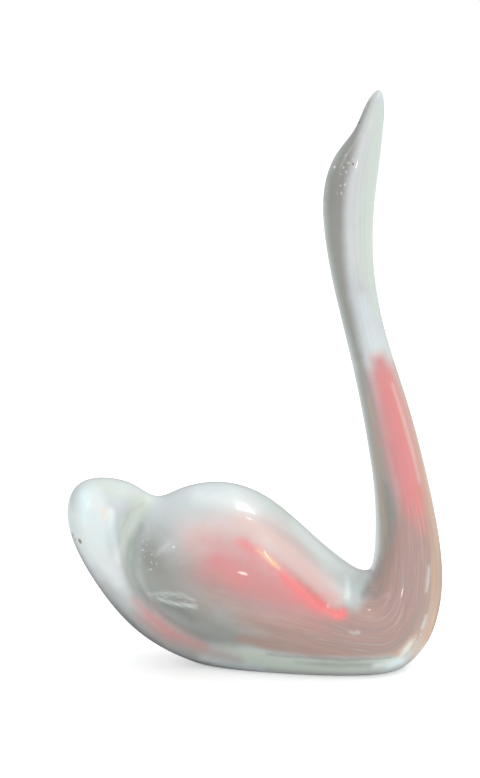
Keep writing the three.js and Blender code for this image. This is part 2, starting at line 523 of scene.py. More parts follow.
STROKES: tuple[Stroke, ...] = (
    # Painted shade down the back of the head and neck, deepest low on the neck, and the warm line beside
    # it.
    Stroke(Coat.SMOKE, ((38, 196), (35, 189), (31, 180), (27.5, 170), (26.6, 160), (26.9, 150),
                        (28.2, 140), (30, 130), (32.4, 120), (35, 110)),
           (0.6, 1.2, 2.6, 3.4, 3.4, 3.1, 2.5, 2.2, 2.0, 1.4), 4.0),
    Stroke(Coat.SMOKE, ((35, 110), (37.6, 100), (39.9, 90), (41.8, 80), (43.6, 70), (45.4, 60),
                        (46.4, 50), (46, 40), (43, 32), (37, 29.5)),
           (1.2, 2.6, 2.8, 3.1, 3.5, 3.7, 3.4, 3.0, 2.0, 0.6), 3.4, 0.9),
    Stroke(Coat.PAINTED_DARK_SHADE, ((44.6, 66), (46.0, 58), (46.2, 50), (44.8, 42), (42.4, 35)),
           (0.4, 1.2, 1.6, 1.5, 0.8), 3.6, 0.22),
    Stroke(Coat.HONEY_AND_REFLECTION, ((38.5, 96), (41.3, 80), (43.4, 64), (44.4, 50), (43.6, 40)),
           (0.3, 0.5, 0.7, 0.7, 0.4), 2.2, 0.5),
    # Pale green painted reflection down the throat, then lilac and a painted sky reflection above the pink
    # of the neck.
    Stroke(Coat.GREEN_REFLECTION_AND_SHADE, ((36.4, 159), (35.8, 147), (37, 137)), (1.6, 2.4, 1.6), 5.0, 0.6),
    Stroke(Coat.GREEN_REFLECTION_AND_SHADE, ((41.5, 192), (40, 170), (38.5, 155), (39, 140), (41.5, 125)),
           (2.5, 3.5, 3.0, 2.5, 1.5), 5, 0.75),
    Stroke(Coat.LILAC_AND_SHADE, ((37, 134), (40, 120)), (2, 2), 6, 0.5),
    Stroke(Coat.SKY_REFLECTION, ((36.6, 130), (38.8, 120), (41.0, 112)), (1.0, 2.2, 1.8), 4.5, 0.4),
    # Pink down the front of the neck, with a thin line of painted shade and a thin painted highlight in it.
    Stroke(Coat.ROSE, ((42.0, 109.4), (43.8, 104), (45.2, 98), (47.6, 88), (51.0, 74), (54.6, 60),
                       (57.0, 51)),
           (2.2, 4.4, 4.9, 5.5, 6.0, 5.2, 2.0), 6.0, 0.92),
    Stroke(Coat.ROSE, ((46.6, 103), (49.8, 95), (53.4, 82), (56.6, 68), (58.6, 57)),
           (0.8, 1.4, 1.8, 1.8, 0.8), 4.5, 0.6),
    Stroke(Coat.CRIMSON, ((43.6, 104), (45.2, 98), (47.6, 90), (49.8, 81), (51.8, 72), (53.8, 63),
                          (55.4, 57)),
           (1.0, 1.8, 2.2, 2.3, 2.3, 2.4, 1.6), 6.5, 0.55),
    Stroke(Coat.PAINTED_DARK_SHADE, ((46.6, 80), (49, 68), (50.6, 58)), (0.3, 0.6, 0.3), 3.0, 0.12),
    Stroke(Coat.MILK_AND_HIGHLIGHT, ((46.8, 100.6), (50.6, 89), (54.0, 77), (56.4, 67)),
           (0.1, 0.3, 0.3, 0.1), 2.0, 0.35),
    Stroke(Coat.AMBER_GLINT, ((46.8, 100.6), (50.6, 89), (54.0, 77), (56.4, 67)),
           (0.1, 0.3, 0.3, 0.1), 2.2, 0.14),
    # Brown-pink over the foot of the neck and the breast, with painted shade behind the neck.
    Stroke(Coat.UMBER, ((54, 60), (55.5, 46), (54, 34), (48, 22), (36, 17.5), (20, 18.5)),
           (5, 9, 12, 11, 8, 7.5), 5),
    Stroke(Coat.SMOKE, ((46.5, 60), (49.0, 44), (47, 30), (43, 24)), (2, 3, 3, 2), 8, 0.55),
    Stroke(Coat.SMOKE, ((34, 27), (39, 29), (43, 31)), (1.5, 2.2, 1.5), 6.5, 0.3),
    # Brown-pink low along the flank.
    Stroke(Coat.UMBER, ((24, 19), (8, 20.5), (-2, 24)), (7.5, 6.5, 4), 12),
    Stroke(Coat.UMBER, ((-5, 15.5), (6, 14.2), (22, 13.2), (46, 13.8)), (2.0, 3.2, 3.6, 4.5), 3.6, 0.95),
    Stroke(Coat.UMBER, ((12, 29), (-2, 34), (-13, 38)), (5.0, 6.0, 5.0), 12, 0.75),
    # Honey down the front of the neck and breast, and under the breast a painted gold reflection with
    # painted amber glints.
    Stroke(Coat.HONEY_AND_REFLECTION, ((48.5, 108), (54, 90), (59.5, 71), (63, 56), (65.5, 42), (65, 26), (60.5, 13),
                        (54, 5)),
           (0.7, 1.4, 2.6, 3.6, 4.4, 4.6, 3.2, 1.2), 4.0, 0.95),
    Stroke(Coat.HONEY_AND_REFLECTION, ((48, 9.5), (53, 11.5), (57, 16)), (1.0, 2.2, 1.4), 4.0, 0.75),
    Stroke(Coat.AMBER_GLINT, ((62.0, 22), (60.4, 14), (57, 8.6)), (0.2, 0.3, 0.2), 2.2, 0.45),
    Stroke(Coat.AMBER_GLINT, ((49.6, 8.6), (51.8, 10.9), (53.4, 13.2)), (0.2, 0.5, 0.3), 3.0, 0.4),
    # Painted shade at the rear of the wing and low on it, warmer towards the middle, with a darker painted
    # shadow below the smear.
    Stroke(Coat.SMOKE, ((-36, 46), (-35, 40), (-32, 32), (-26, 25), (-17, 18), (-8, 16), (1, 16)),
           (3.5, 5.5, 7.5, 8.5, 7.0, 4.5, 2.0), 7, 0.9),
    Stroke(Coat.SMOKE, ((-33, 46), (-27, 40), (-19, 32), (-8, 24)), (4.5, 7.0, 8.5, 6.0), 13, 0.75),
    Stroke(Coat.SMOKE, ((-37, 54), (-24, 50)), (2.0, 3.5), 10, 0.4),
    Stroke(Coat.SMOKE, ((-41.0, 45), (-40.8, 38), (-38.6, 31.5)), (0.8, 1.1, 0.8), 3.2, 0.42),
    Stroke(Coat.PAINTED_DARK_SHADE, ((-33, 27), (-26.5, 27), (-21, 23)), (0.8, 1.8, 1.2), 4.5, 0.35),
    Stroke(Coat.UMBER, ((-24, 42), (-21, 35), (-16, 28)), (2.0, 3.5, 2.5), 11, 0.3),
    Stroke(Coat.UMBER, ((-17, 42), (-12, 34), (-3, 29)), (2.0, 3.0, 3.0), 11, 0.6),
    Stroke(Coat.UMBER, ((-22, 48), (-21, 40)), (2.0, 2.0), 10, 0.5),
    # The pink patch in the middle of the wing.
    Stroke(Coat.ROSE, ((-13, 43), (-3, 39), (9, 32.5), (21, 26.5)), (3.5, 5.0, 4.5, 2.5), 19),
    Stroke(Coat.ROSE, ((-13, 43.5), (-3, 39.5), (8, 33), (18, 28)), (3.5, 5.0, 4.0, 2.0), 12, 0.7),
    Stroke(Coat.ROSE, ((-17, 50), (-4, 48.5)), (2.0, 2.5), 12, 0.6),
    Stroke(Coat.CRIMSON, ((-11, 43), (-6, 37)), (2.0, 2.0), 8.5, 0.26),
    # The pale blush above the fold, lighter as a painted sky reflection, then lilac and a painted highlight
    # on the top of the wing.
    Stroke(Coat.BLUSH_AND_REFLECTION, ((-4, 56), (6, 50), (15, 41.5), (23, 33), (27, 29)),
           (2.0, 3.2, 3.4, 2.4, 1.0), 9.5, 0.95),
    Stroke(Coat.BLUSH_AND_REFLECTION, ((-22, 51), (-12, 54), (-3, 56)), (3, 3.5, 2), 13, 0.65),
    Stroke(Coat.LILAC_AND_SHADE, ((-30, 57), (-16, 57), (-4, 57)), (3, 5, 3), 10, 0.5),
    Stroke(Coat.MILK_AND_HIGHLIGHT, ((-20, 62.5), (-8, 61.5), (0, 58)), (1.5, 2.5, 1.5), 6, 0.7),
    # The red line of the fold and its round end, red glaze pooled in the crease, the glow round it, red
    # glaze with painted light bounced in the crease, and a painted amber glint.
    Stroke(Coat.CRIMSON, ((-4, 48), (6, 41), (15, 33.5), (24, 27)), (1.4, 2.0, 2.0, 1.2), 8, 0.42),
    Stroke(Coat.CRIMSON, ((8, 38.4), (14, 32.8), (20, 28.2), (24, 25.8)), (0.4, 1.6, 1.6, 0.4), 5, 0.55),
    Stroke(Coat.CRIMSON, ((-4.5, 49.4), (1, 46.6)), (0.8, 1.0), 5.5, 0.4),
    Stroke(Coat.CRIMSON, ((-6, 50), (-1, 47.4), (4, 44), (9, 39.4), (13.5, 35.4)),
           (0.1, 0.3, 0.6, 0.8, 0.9), 4.6, 0.6),
    Stroke(Coat.CRIMSON, ((9.5, 38.4), (14.5, 33.8), (20, 29.4), (24.4, 26.4), (27.4, 24.5),
                          (29.3, 24.7)),
           (0.7, 1.1, 1.3, 0.7, 1.5, 1.6), 2.6),
    Stroke(Coat.AMBER_GLINT, ((0.4, 47.0), (3.0, 45.0), (6.0, 42.5), (7.8, 41.0)),
           (0.1, 0.35, 0.5, 0.1), 1.9, 0.9),
    # Painted reflection in pale green and white along the slope of the back, and a painted highlight at its
    # foot.
    Stroke(Coat.GREEN_REFLECTION_AND_SHADE, ((-2, 65), (8, 59), (18, 50), (27, 41), (35, 36.5), (41, 38)),
           (0.6, 2.4, 3.6, 4.0, 3.4, 0.8), 3.0),
    Stroke(Coat.MILK_AND_HIGHLIGHT, ((14, 52), (26, 40.5), (34, 36)), (1.0, 2.8, 2.4), 4.0, 0.85),
    Stroke(Coat.MILK_AND_HIGHLIGHT, ((31.4, 28.6), (31.6, 34)), (0.6, 0.9), 2.4, 0.9),
    Stroke(Coat.SKY_REFLECTION, ((31.4, 29.4), (31.6, 32.4)), (0.3, 0.3), 2.0, 0.9),
    # The hollow behind the wing in painted shade: pale green, a grey crease, a thin grey line, and a
    # painted highlight on its rim.
    Stroke(Coat.GREEN_REFLECTION_AND_SHADE, ((-38, 59.5), (-42.6, 54), (-44.2, 48), (-43.6, 41), (-41.2, 32)),
           (2.4, 3.4, 3.2, 2.4, 1.2), 2.6, 0.8),
    Stroke(Coat.SMOKE, ((-39, 52), (-41.8, 46), (-42.8, 41), (-42.2, 35), (-39.8, 29), (-36, 23.5)),
           (1.0, 2.0, 2.4, 2.6, 2.4, 1.6), 3.4, 0.55),
    Stroke(Coat.SMOKE, ((-38.7, 58.8), (-43.3, 56.7), (-46.4, 50), (-46.8, 45), (-45.2, 38),
                        (-41.6, 30.7)),
           (0.1, 0.2, 0.3, 0.3, 0.3, 0.1), 2.0, 0.3),
    Stroke(Coat.MILK_AND_HIGHLIGHT, ((-46, 54), (-46.5, 49)), (0.8, 0.8), 3.0, 0.5),
    # The tail's face, painted lighter where it faces the light, a painted green reflection along the top, a
    # painted blue sheen and painted amber glints.
    Stroke(Coat.GREEN_REFLECTION_AND_SHADE, ((-56, 66), (-46, 63), (-37, 59)), (0.8, 1.5, 1.5), 3, 0.7),
    Stroke(Coat.MILK_AND_HIGHLIGHT, ((-57, 57), (-54, 45), (-47, 33)), (6.0, 4.5, 2.0), 5, 0.8),
    Stroke(Coat.MILK_AND_HIGHLIGHT, ((-49.8, 57.5), (-48.8, 48), (-47.2, 40)), (1.4, 1.2, 0.8), 2.4, 0.9),
    Stroke(Coat.MILK_AND_HIGHLIGHT, ((-56, 62), (-52, 54)), (2.5, 2.0), 6.0, 0.7),
    Stroke(Coat.SKY_REFLECTION, ((-57, 60), (-53, 48)), (3.5, 3.5), 8.0, 0.3),
    Stroke(Coat.SKY_REFLECTION, ((-58.6, 62), (-58, 54)), (1.4, 1.2), 4.0, 0.9),
    Stroke(Coat.SKY_REFLECTION, ((-49.4, 57), (-48.8, 47)), (0.8, 0.8), 2.8, 0.8),
    Stroke(Coat.AMBER_GLINT, ((-52.3, 58.0), (-51.0, 56.0)), (0.6, 0.8), 3.4, 0.36),
    Stroke(Coat.AMBER_GLINT, ((-56.0, 61.8), (-54.6, 59.8)), (0.3, 0.3), 3.4, 0.2),
    # The rose band low on the tail, and beneath it brown, and lilac and grey painted shade where the tail
    # turns under.
    Stroke(Coat.ROSE, ((-42, 26.6), (-36, 19.8), (-29, 14), (-18, 10)), (0.1, 1.8, 2.0, 0.8), 7.0, 0.85),
    Stroke(Coat.CRIMSON, ((-37.5, 21), (-30.5, 14.6)), (0.3, 0.5), 4.0, 0.25),
    Stroke(Coat.UMBER, ((-42, 21), (-34, 14), (-22, 9), (-6, 5.5)), (1.0, 2.4, 2.4, 1.2), 6.0, 0.6),
    Stroke(Coat.LILAC_AND_SHADE, ((-56, 36), (-47, 21), (-37, 11), (-23, 5)), (2.0, 3.0, 3.6, 3.4), 5, 0.9),
    Stroke(Coat.SMOKE, ((-52, 30), (-44, 19.5), (-34, 10.5), (-22, 5.5)), (2.0, 2.6, 3.0, 2.0), 6, 0.45),
    # The shaded underside of the tail and body.
    Stroke(Coat.PAINTED_DARK_SHADE, ((-64.5, 47), (-60.4, 38), (-54.6, 28), (-47.4, 19), (-39.5, 11.5), (-31, 5.6),
                        (-22, 2.4), (-8, 0.8), (0, 0.2)),
           (1.2, 1.8, 2.1, 2.2, 2.0, 1.5, 0.9, 0.3, 0.0), 4.0, 0.85),
    # The pale green belly, a painted reflection of the table, with thin lines of painted shade, its warm
    # lower edge and a painted highlight at its bright end.
    Stroke(Coat.GREEN_REFLECTION_AND_SHADE, ((-11, 10.8), (-4, 7.6), (8, 5.6), (26, 5.0), (46, 6)),
           (0.9, 2.4, 3.4, 3.0, 2.8), 1.8),
    Stroke(Coat.GREEN_REFLECTION_AND_SHADE, ((-12, 14), (4, 11)), (1.5, 1.5), 6, 0.5),
    Stroke(Coat.PAINTED_DARK_SHADE, ((4, 9.4), (18, 9.0), (30, 8.2), (46, 8.6)), (0.2, 0.4, 0.6, 0.3), 1.8, 0.55),
    Stroke(Coat.PAINTED_DARK_SHADE, ((14, 6.8), (26, 6.0), (38, 6.0), (44, 6.6)), (0.3, 1.2, 1.2, 0.2), 3.0, 0.4),
    Stroke(Coat.UMBER, ((4, 1.6), (24, 1.4), (42, 1.8)), (0.4, 0.5, 0.4), 2.4, 0.45),
    Stroke(Coat.MILK_AND_HIGHLIGHT, ((41, 5.5), (50, 6.2)), (1.0, 1.6), 2.5, 0.8),
    Stroke(Coat.MILK_AND_HIGHLIGHT, ((46, 4.6), (49, 6.4)), (0.8, 1.2), 2.4, 0.9),
    Stroke(Coat.SKY_REFLECTION, ((45.6, 4.4), (49, 6.0)), (0.5, 0.9), 2.6, 0.85),
    # A brown tint on the bill, and small painted glints on the bill, the breast and low on the flank.
    Stroke(Coat.UMBER, ((39.8, 198), (37.4, 194)), (0.4, 0.4), 2.2, 0.35),
    Stroke(Coat.MILK_AND_HIGHLIGHT, ((41.6, 199.0), (41.2, 197.2)), (0.15, 0.15), 1.2, 0.9),
    Stroke(Coat.MILK_AND_HIGHLIGHT, ((39.0, 189.8), (38.4, 187.6)), (0.05, 0.1), 1.4, 0.7),
    Stroke(Coat.MILK_AND_HIGHLIGHT, ((59.6, 38), (59.2, 34), (58.6, 30)), (0.1, 0.3, 0.1), 2.2, 0.75),
    Stroke(Coat.MILK_AND_HIGHLIGHT, ((58.6, 21.5), (57.2, 17.6)), (0.2, 0.3), 1.8, 0.8),
    Stroke(Coat.MILK_AND_HIGHLIGHT, ((31.6, 18.9), (33.2, 18.2), (34.8, 18.5)), (0.0, 0.2, 0.3), 1.6, 0.7),
    Stroke(Coat.MILK_AND_HIGHLIGHT, ((50.5, 10.5), (53.5, 13.5)), (0.6, 1.0), 3.4, 0.5),
    Stroke(Coat.SKY_REFLECTION, ((49.6, 8.4), (51.8, 10.8), (53.2, 12.8)), (0.2, 0.8, 0.2), 2.4, 0.85),
    # The crazed smear low on the wing.
    Stroke(Coat.MILK_AND_HIGHLIGHT, ((-36.5, 30), (-31, 32.2), (-25, 32.4), (-20.5, 30.4)),
           (0.3, 0.5, 0.5, 0.3), 1.4, 0.4),
    Stroke(Coat.MILK_AND_HIGHLIGHT, ((-33, 29.4), (-27, 28.5), (-20, 28.2)), (0.4, 0.5, 0.4), 1.3, 0.7),
    Stroke(Coat.CRAZE, ((-36, 30.6), (-29, 31.4), (-21, 29.0)), (0.6, 1.6, 1.0), 2.0),
    # Where the streaks run.
    Stroke(Coat.STREAK, ((56, 58), (57, 46), (54, 33), (47, 21), (36, 15.5), (24, 16)),
           (4, 8, 11, 11, 8, 6), 7),
    Stroke(Coat.STREAK, ((46, 92), (51, 74), (56, 58)), (2, 5, 6), 5, 0.25),
    Stroke(Coat.STREAK, ((38, 188), (34, 165), (35, 140), (39, 115)), (2.0, 3.5, 3.0, 2.0), 4, 0.2),
    Stroke(Coat.STREAK, ((36, 106), (41, 84), (45, 62), (46, 44)), (1.5, 2.0, 2.5, 3.0), 3, 0.5),
    Stroke(Coat.STREAK, ((26, 17), (10, 21), (-4, 28), (-14, 36)), (7, 8, 7, 4), 8, 0.45),
    # Clusters of pinholes on the wing's rear, the head, the bill and under the breast.
    Stroke(Coat.BLISTER, ((-37.6, 48), (-36, 42)), (2.0, 2.6), 4.5),
    Stroke(Coat.BLISTER, ((31, 177), (29, 170), (28.6, 164)), (1.8, 2.0, 1.0), 3),
    Stroke(Coat.BLISTER, ((38.2, 195.5), (36.4, 191)), (0.5, 0.8), 2, 0.8),
    Stroke(Coat.BLISTER, ((50.5, 9), (56, 15)), (1.5, 1.5), 3, 0.8),
    Stroke(Coat.BLISTER, ((-25, 44), (-24, 38)), (0.6, 0.6), 4, 0.6),
    # Duller glaze in the hollow of the tail, down the breast and round the foot of the fold.
    Stroke(Coat.DULL, ((-52, 64), (-44, 62), (-38, 59), (-43, 52)), (2, 3, 3, 2), 6),
    Stroke(Coat.DULL, ((64, 62), (66, 42), (65.5, 26), (61, 12)), (2.0, 3.0, 3.0, 2.5), 5, 0.85),
    Stroke(Coat.DULL, ((22, 29), (27, 26), (33, 27), (41, 28)), (1.5, 2, 3, 2), 5, 0.8),
)


class Fault(Enum):
    """The kinds of small fault in the glaze."""

    CHIP = "chip"
    BUBBLE = "bubble"


@dataclass(frozen=True)
class Blemish:
    """One small fault, at a place on the skin in millimetres."""

    fault: Fault
    place: Place
    radius: float


BLEMISHES: tuple[Blemish, ...] = (
    Blemish(Fault.CHIP, (-60.3, -11.1, 46.7), 0.95),
    Blemish(Fault.CHIP, (-61.9, -8.6, 46.9), 0.45),
    Blemish(Fault.CHIP, (-62.8, -7.4, 48.2), 0.7),
    Blemish(Fault.CHIP, (35.0, -1.6, 189.1), 0.6),
    Blemish(Fault.CHIP, (32.7, -6.7, 175.3), 0.35),
    Blemish(Fault.BUBBLE, (-27.7, -24.4, 47.6), 0.5),
    Blemish(Fault.BUBBLE, (-25.3, -26.3, 42.2), 0.55),
    Blemish(Fault.BUBBLE, (-23.0, -25.9, 43.7), 0.35),
    Blemish(Fault.BUBBLE, (26.5, -3.9, 174.3), 0.6),
    Blemish(Fault.BUBBLE, (28.4, -5.4, 166.9), 0.4),
    Blemish(Fault.BUBBLE, (-32.5, -22.3, 54.0), 0.35),
    Blemish(Fault.BUBBLE, (-38.6, -17.0, 31.4), 0.4),
)


# Shader maths.


class Value:
    """One number of a material, joined up with + − × like a plain number."""

    def __init__(self, bench: "Bench", socket: bpy.types.NodeSocket) -> None:
        """Keeps the bench that adds nodes and the socket that gives the number."""
        self.bench = bench
        self.socket = socket

    def _math(self, operation: str, *values: Any) -> "Value":
        """Adds one Math node."""
        node = self.bench.node("ShaderNodeMath", {"operation": operation}, dict(enumerate(values)))
        return Value(self.bench, node.outputs[0])

    def __add__(self, other: Any) -> "Value":
        """self + other."""
        return self._math("ADD", self, other)

    __radd__ = __add__

    def __mul__(self, other: Any) -> "Value":
        """self × other."""
        return self._math("MULTIPLY", self, other)

    __rmul__ = __mul__

    def __sub__(self, other: Any) -> "Value":
        """self − other."""
        return self._math("SUBTRACT", self, other)

    def __rsub__(self, other: Any) -> "Value":
        """other − self."""
        return self._math("SUBTRACT", other, self)

    def clipped(self) -> "Value":
        """The number held between 0 and 1."""
        node = self.bench.node("ShaderNodeClamp", {}, {0: self})
        return Value(self.bench, node.outputs[0])

    def step(self, low: float, high: float) -> "Value":
        """A smooth step over a band.

        Args:
            low: where it is 0.
            high: where it is 1; the step falls where this is the lower of the two.

        Returns:
            The number between 0 and 1.
        """
        start, end, first, last = (low, high, 0.0, 1.0) if low < high else (high, low, 1.0, 0.0)
        settings = {"interpolation_type": "SMOOTHSTEP"}
        inputs = {0: self, 1: start, 2: end, 3: first, 4: last}
        return Value(self.bench, self.bench.node("ShaderNodeMapRange", settings, inputs).outputs[0])


@dataclass(frozen=True)
class Pattern:
    """A cloudy noise: its fineness, detail and roughness, and the band that it is eased over."""

    scale: float
    detail: float = 2.0
    rough: float = 0.5
    band: tuple[float, float] | None = None


class Bench:
    """Adds nodes to one material, or to the world, and joins them."""

    def __init__(self, owner: bpy.types.Material | bpy.types.World) -> None:
        """Clears the owner's nodes."""
        owner.use_nodes = True
        self.tree = owner.node_tree
        self.tree.nodes.clear()

    def node(self, kind: str, settings: dict[str, Any], inputs: dict[int | str, Any]) -> bpy.types.Node:
        """Adds a node.

        Args:
            kind: Blender's name of the node's type.
            settings: properties, set before the sockets are read.
            inputs: values or links of sockets, by place or by name.

        Returns:
            The node.
        """
        made = self.tree.nodes.new(kind)
        for name, value in settings.items():
            setattr(made, name, value)
        for key, value in inputs.items():
            if isinstance(value, Value):
                value = value.socket
            if isinstance(value, bpy.types.NodeSocket):
                self.tree.links.new(value, made.inputs[key])
            else:
                made.inputs[key].default_value = value
        return made

    def finish(self, kind: str, result: bpy.types.Node) -> None:
        """Joins the last shader to an output node of the given kind."""
        self.tree.links.new(result.outputs[0], self.node(kind, {}, {}).inputs[0])

    def coat(self, coat: Coat) -> Value:
        """One coat's share at each point of the mesh."""
        read = self.node("ShaderNodeAttribute", {"attribute_name": coat.value}, {})
        return Value(self, read.outputs["Fac"])

    def sweep(self, scale: Scale) -> bpy.types.NodeSocket:
        """The coordinates that a streak follows, scaled by each axis."""
        read = self.node("ShaderNodeAttribute", {"attribute_name": Coat.SWEEP.value}, {})
        return self.scaled(read.outputs["Vector"], scale)

    def scaled(self, vector: bpy.types.NodeSocket, scale: Scale) -> bpy.types.NodeSocket:
        """A vector times a scale for each axis."""
        inputs = {0: vector, 1: scale}
        return self.node("ShaderNodeVectorMath", {"operation": "MULTIPLY"}, inputs).outputs[0]

    def place(self) -> bpy.types.NodeSocket:
        """The object's own coordinates, in millimetres."""
        place = self.node("ShaderNodeTexCoord", {}, {}).outputs["Object"]
        return self.scaled(place, (1 / METRES,) * 3)

    def noise(self, vector: bpy.types.NodeSocket, pattern: Pattern) -> Value:
        """Cloudy noise.

        Args:
            vector: the coordinates it is laid over.
            pattern: how fine it is, and its band.

        Returns:
            The noise, about 0.5, or eased over the pattern's band where it has one.
        """
        inputs = {"Vector": vector, "Scale": pattern.scale}
        inputs |= {"Detail": pattern.detail, "Roughness": pattern.rough}
        noise = Value(self, self.node("ShaderNodeTexNoise", {}, inputs).outputs[0])
        return noise.step(*pattern.band) if pattern.band else noise

    def mix(self, share: Any, first: Any, second: Any) -> bpy.types.NodeSocket:
        """Mixes two colours.

        Args:
            share: how much of the second, as a value or a socket.
            first: a plain colour or a socket.
            second: another.

        Returns:
            The first colour, going to the second as share goes to 1.
        """
        settings = {"data_type": "RGBA", "clamp_factor": True}
        inputs = {0: share, MIX_FIRST: rgba(first), MIX_SECOND: rgba(second)}
        return self.node("ShaderNodeMix", settings, inputs).outputs[MIXED]


def rgba(colour: Any) -> Any:
    """A plain colour with its alpha; a socket as it is."""
    return (*colour, 1.0) if isinstance(colour, tuple) else colour


# The finish.


@dataclass(frozen=True)
class PearlGlaze:
    """Clear pearl lustre over sprayed colours and painted light and shade on white ware, with a bare sole.

    A pattern's scale is for coordinates in millimetres. A band is where a share goes from 0 to 1.
    """

    # The ware, the coats of colour and of painted light and shade, the streaks and the bare clay.
    white: Colour = (0.67, 0.71, 0.71)
    cloud: Colour = (0.61, 0.66, 0.68)
    # Lilac, in part painted shade under the tail.
    lilac_and_shade: Colour = (0.55, 0.55, 0.58)
    # The pale green of painted reflection and painted shade.
    green_reflection_and_shade: Colour = (0.63, 0.70, 0.63)
    # The grey of painted shade.
    painted_shade: Colour = (0.28, 0.28, 0.26)
    umber: Colour = (0.43, 0.27, 0.24)
    rose: Colour = (0.66, 0.25, 0.24)
    # Pale blush, lightened as a painted sky reflection.
    blush_and_reflection: Colour = (0.80, 0.54, 0.51)
    # The dark of painted shade.
    painted_dark_shade: Colour = (0.09, 0.09, 0.10)
    crimson: Colour = (0.90, 0.19, 0.20)
    # Honey, a warm tint that is also a painted gold reflection under the breast.
    honey_and_reflection: Colour = (0.60, 0.35, 0.23)
    # The colour of painted amber glints.
    amber_glint: Colour = (1.0, 0.70, 0.36)
    # Milk white, for painted highlights, glints and lightened bubbles, and for the crazed smear.
    milk_and_highlight: Colour = (0.80, 0.86, 0.86)
    # The bluish white of painted sky reflection and glints.
    sky: Colour = (0.82, 0.97, 1.0)
    streak_light: Colour = (0.60, 0.47, 0.41)
    streak_dark: Colour = (0.30, 0.26, 0.26)
    pit: Colour = (0.16, 0.12, 0.09)
    biscuit: Colour = (0.62, 0.58, 0.52)

    # How unevenly the coats are sprayed, and how the streaks and the crazing run.
    clouds: Pattern = Pattern(0.05, 3.0, band=(0.35, 0.65))
    spatter: Pattern = Pattern(0.22, 6.0, 0.7)
    spatter_share: float = 1.6
    streak_stretch: Scale = (0.03, 1.0, 1.0)
    broad_streaks: Pattern = Pattern(0.8, 3.0, band=(0.54, 0.32))
    fine_streaks: Pattern = Pattern(2.5, 2.0, 0.6, (0.46, 0.78))
    streak_share: float = 0.5
    craze_stretch: Scale = (0.25, 0.25, 1.6)
    crazing: Pattern = Pattern(1.0, band=(0.55, 0.62))
    craze_share: float = 0.4

    # Pinholes, bubbles and chips. A spot's edge is in parts of its radius.
    pinhole_cells: float = 0.85
    ring_outside: tuple[float, float] = (0.50, 0.36)
    ring_inside: tuple[float, float] = (0.10, 0.24)
    ring_gaps: Pattern = Pattern(0.8, band=(0.50, 0.62))
    cluster_edge: tuple[float, float] = (0.15, 0.8)
    ring_share: float = 0.75
    spot_edge: tuple[float, float] = (1.25, 0.7)
    # How much bubbles and pinholes are lightened, a painted glint.
    bubble_glint_share: float = 0.8
    chip_share: float = 0.9

    # Gloss, the clear coat and its lustrous film.
    gloss: float = 0.30
    smears: Pattern = Pattern(0.09, 3.0, band=(0.45, 0.8))
    smear_roughness: float = 0.08
    dull_roughness: float = 0.35
    dull_loss: float = 0.9
    biscuit_roughness: float = 0.85
    clear_coat: float = 0.7
    clear_coat_roughness: float = 0.04
    clear_coat_ior: float = 1.5
    glaze_ior: float = 1.6
    film_nanometres: float = 459.0
    film_ior: float = 1.65

    # Relief, with heights in millimetres.
    waves: Pattern = Pattern(0.12)
    wave_height: float = 0.3
    grain: Pattern = Pattern(3.0, 3.0)
    grain_height: float = 0.1
    bubble_height: float = 0.25
    chip_depth: float = 0.5
    relief_strength: float = 0.5

    def material(self) -> bpy.types.Material:
        """Builds the material's nodes.

        Returns:
            The finished material.
        """
        made = bpy.data.materials.new("pearl_glaze")
        bench = Bench(made)
        bare = bench.coat(Coat.BARE)
        place = bench.place()
        pits, dots = self._faults(bench, place)
        colour = self._colour(bench, pits, dots)
        dull = (bench.coat(Coat.PAINTED_DARK_SHADE) + bench.coat(Coat.DULL)).clipped()
        roughness = self.gloss + self.dull_roughness * dull
        roughness += self.smear_roughness * bench.noise(place, self.smears)
        shader = bench.node(
            "ShaderNodeBsdfPrincipled",
            {},
            {
                "Base Color": bench.mix(bare, colour, self.biscuit),
                "Roughness": roughness + bare * (self.biscuit_roughness - self.gloss),
                "Coat Weight": self.clear_coat * (1.0 - bare) * (1.0 - self.dull_loss * dull),
                "Coat Roughness": self.clear_coat_roughness,
                "Coat IOR": self.clear_coat_ior,
                "IOR": self.glaze_ior,
                "Thin Film Thickness": self.film_nanometres,
                "Thin Film IOR": self.film_ior,
                "Normal": self._relief(bench, bare, dots * self.bubble_height - pits * self.chip_depth),
            },
        )
        bench.finish("ShaderNodeOutputMaterial", shader)
        return made

    def _colour(self, bench: Bench, pits: Value, dots: Value) -> bpy.types.NodeSocket:
        """The sprayed coats of colour and of painted light and shade one over another, then the streaks,
        and the small faults with the bubbles and pinholes lightened as painted glints.

        Args:
            bench: the material's bench.
            pits: the share of chip.
            dots: the share of bubble.

        Returns:
            The colour of the glaze.
        """
        place = bench.place()
        colour = bench.mix(bench.noise(place, self.clouds), self.white, self.cloud)
        spatter = bench.noise(place, self.spatter) - NOISE_MIDDLE
        for coat, tint in (
            (Coat.LILAC_AND_SHADE, self.lilac_and_shade),
            (Coat.GREEN_REFLECTION_AND_SHADE, self.green_reflection_and_shade),
            (Coat.SMOKE, self.painted_shade),
            (Coat.UMBER, self.umber),
            (Coat.BLUSH_AND_REFLECTION, self.blush_and_reflection),
            (Coat.ROSE, self.rose),
            (Coat.CRIMSON, self.crimson),
            (Coat.HONEY_AND_REFLECTION, self.honey_and_reflection),
            (Coat.PAINTED_DARK_SHADE, self.painted_dark_shade),
            (Coat.MILK_AND_HIGHLIGHT, self.milk_and_highlight),
            (Coat.SKY_REFLECTION, self.sky),
            (Coat.AMBER_GLINT, self.amber_glint),
        ):
            colour = bench.mix(self._sprayed(bench.coat(coat), spatter), colour, tint)
        streaked = bench.coat(Coat.STREAK) * self.streak_share
        streaks = bench.sweep(self.streak_stretch)
        colour = bench.mix(streaked * bench.noise(streaks, self.broad_streaks), colour, self.streak_dark)
        craze = bench.noise(bench.scaled(place, self.craze_stretch), self.crazing)
